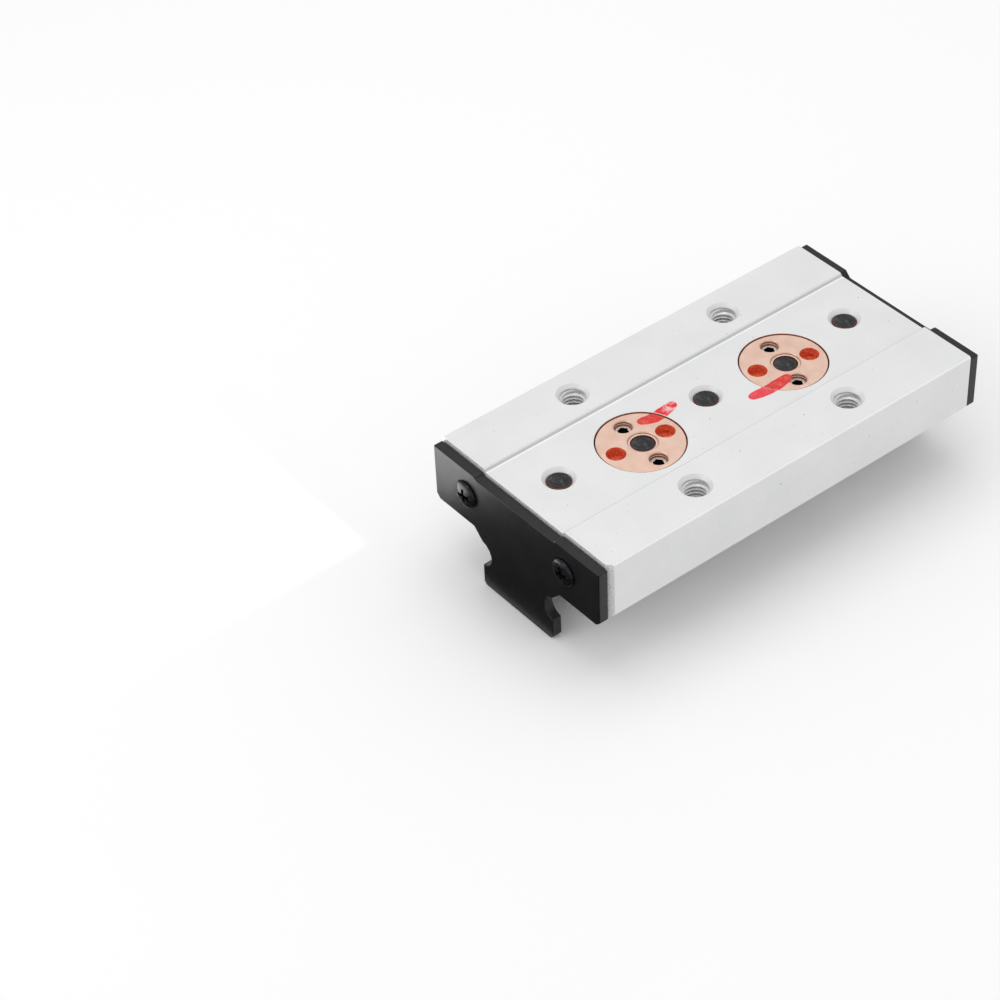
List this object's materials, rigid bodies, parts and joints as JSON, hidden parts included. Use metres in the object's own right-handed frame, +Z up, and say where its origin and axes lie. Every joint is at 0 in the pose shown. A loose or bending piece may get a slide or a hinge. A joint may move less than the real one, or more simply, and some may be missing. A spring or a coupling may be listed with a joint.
{
  "type": "linear guide carriage",
  "caption": "Low roller carriage for an inner dual-shaft linear guide: grooved track rollers under a flat aluminium block, copper eccentric bushings and black end plates.",
  "frame": {"origin": "on the plane the two end plates' tongues stand on, under the middle of the carriage", "axes": "X along the rail, Y across it with +Y on the fixed rollers' side, +Z up, out of the mounting pads"},
  "size_m": [0.0954, 0.047, 0.0258],
  "materials": {
    "anodised_aluminium": "fine matt anodised",
    "black_plastic": "fine textured black",
    "black_screw_steel": "black oxide on steel",
    "copper_bushing": "turned copper alloy",
    "lock_screw_steel": "bright steel",
    "bearing_steel": "ground and polished bearing steel",
    "cage_steel": "pressed steel",
    "spacer_steel": "turned steel",
    "seal_rubber": "matt black rubber"
  },
  "bodies": {
    "carriage": {"carriage_body": "anodised_aluminium", "end_plate_left": "black_plastic", "end_plate_right": "black_plastic", "plate_screw_left_near": "black_screw_steel", "plate_screw_left_far": "black_screw_steel", "plate_screw_right_near": "black_screw_steel", "plate_screw_right_far": "black_screw_steel", "roller_1_inner_ring": "bearing_steel", "roller_1_spacer": "spacer_steel", "roller_1_axle_screw": "black_screw_steel", "roller_3_inner_ring": "bearing_steel", "roller_3_spacer": "spacer_steel", "roller_3_axle_screw": "black_screw_steel", "roller_5_inner_ring": "bearing_steel", "roller_5_spacer": "spacer_steel", "roller_5_axle_screw": "black_screw_steel"},
    "roller_1": {"roller_1_outer_ring": "bearing_steel", "roller_1_top_seal": "seal_rubber", "roller_1_bottom_seal": "seal_rubber"},
    "roller_1_balls": {"roller_1_ball_cage": "cage_steel"},
    "eccentric_1": {"eccentric_bushing_1": "copper_bushing", "lock_screw_1": "lock_screw_steel", "lock_screw_2": "lock_screw_steel", "roller_2_inner_ring": "bearing_steel", "roller_2_spacer": "spacer_steel", "roller_2_axle_screw": "black_screw_steel"},
    "roller_2": {"roller_2_outer_ring": "bearing_steel", "roller_2_top_seal": "seal_rubber", "roller_2_bottom_seal": "seal_rubber"},
    "roller_2_balls": {"roller_2_ball_cage": "cage_steel"},
    "roller_3": {"roller_3_outer_ring": "bearing_steel", "roller_3_top_seal": "seal_rubber", "roller_3_bottom_seal": "seal_rubber"},
    "roller_3_balls": {"roller_3_ball_cage": "cage_steel"},
    "eccentric_2": {"eccentric_bushing_2": "copper_bushing", "lock_screw_3": "lock_screw_steel", "lock_screw_4": "lock_screw_steel", "roller_4_inner_ring": "bearing_steel", "roller_4_spacer": "spacer_steel", "roller_4_axle_screw": "black_screw_steel"},
    "roller_4": {"roller_4_outer_ring": "bearing_steel", "roller_4_top_seal": "seal_rubber", "roller_4_bottom_seal": "seal_rubber"},
    "roller_4_balls": {"roller_4_ball_cage": "cage_steel"},
    "roller_5": {"roller_5_outer_ring": "bearing_steel", "roller_5_top_seal": "seal_rubber", "roller_5_bottom_seal": "seal_rubber"},
    "roller_5_balls": {"roller_5_ball_cage": "cage_steel"}
  },
  "joints": [
    {"name": "roller_1_spin", "type": "hinge", "parent": "carriage", "child": "roller_1", "pos_m": [-0.03524, 0.001, 0.0076], "axis": [0, 0, 1], "continuous": true},
    {"name": "roller_1_balls_spin", "type": "hinge", "parent": "carriage", "child": "roller_1_balls", "pos_m": [-0.03524, 0.001, 0.0076], "axis": [0, 0, 1], "continuous": true},
    {"name": "eccentric_1_turn", "type": "hinge", "parent": "carriage", "child": "eccentric_1", "pos_m": [-0.01762, -0.001, 0.0252], "axis": [0, 0, 1], "range_deg": [-90, 90]},
    {"name": "roller_2_spin", "type": "hinge", "parent": "eccentric_1", "child": "roller_2", "pos_m": [-0.01726, -0.00117, 0.0076], "axis": [0, 0, 1], "continuous": true},
    {"name": "roller_2_balls_spin", "type": "hinge", "parent": "eccentric_1", "child": "roller_2_balls", "pos_m": [-0.01726, -0.00117, 0.0076], "axis": [0, 0, 1], "continuous": true},
    {"name": "roller_3_spin", "type": "hinge", "parent": "carriage", "child": "roller_3", "pos_m": [0, 0.001, 0.0076], "axis": [0, 0, 1], "continuous": true},
    {"name": "roller_3_balls_spin", "type": "hinge", "parent": "carriage", "child": "roller_3_balls", "pos_m": [0, 0.001, 0.0076], "axis": [0, 0, 1], "continuous": true},
    {"name": "eccentric_2_turn", "type": "hinge", "parent": "carriage", "child": "eccentric_2", "pos_m": [0.01762, -0.001, 0.0252], "axis": [0, 0, 1], "range_deg": [-90, 90]},
    {"name": "roller_4_spin", "type": "hinge", "parent": "eccentric_2", "child": "roller_4", "pos_m": [0.01795, -0.00123, 0.0076], "axis": [0, 0, 1], "continuous": true},
    {"name": "roller_4_balls_spin", "type": "hinge", "parent": "eccentric_2", "child": "roller_4_balls", "pos_m": [0.01795, -0.00123, 0.0076], "axis": [0, 0, 1], "continuous": true},
    {"name": "roller_5_spin", "type": "hinge", "parent": "carriage", "child": "roller_5", "pos_m": [0.03524, 0.001, 0.0076], "axis": [0, 0, 1], "continuous": true},
    {"name": "roller_5_balls_spin", "type": "hinge", "parent": "carriage", "child": "roller_5_balls", "pos_m": [0.03524, 0.001, 0.0076], "axis": [0, 0, 1], "continuous": true}
  ],
  "couplings": [
    {"joint": "roller_1_balls_spin", "follows": "roller_1_spin", "ratio": 0.6154},
    {"joint": "roller_2_balls_spin", "follows": "roller_2_spin", "ratio": 0.6154},
    {"joint": "roller_3_balls_spin", "follows": "roller_3_spin", "ratio": 0.6154},
    {"joint": "roller_4_balls_spin", "follows": "roller_4_spin", "ratio": 0.6154},
    {"joint": "roller_5_balls_spin", "follows": "roller_5_spin", "ratio": 0.6154}
  ]
}
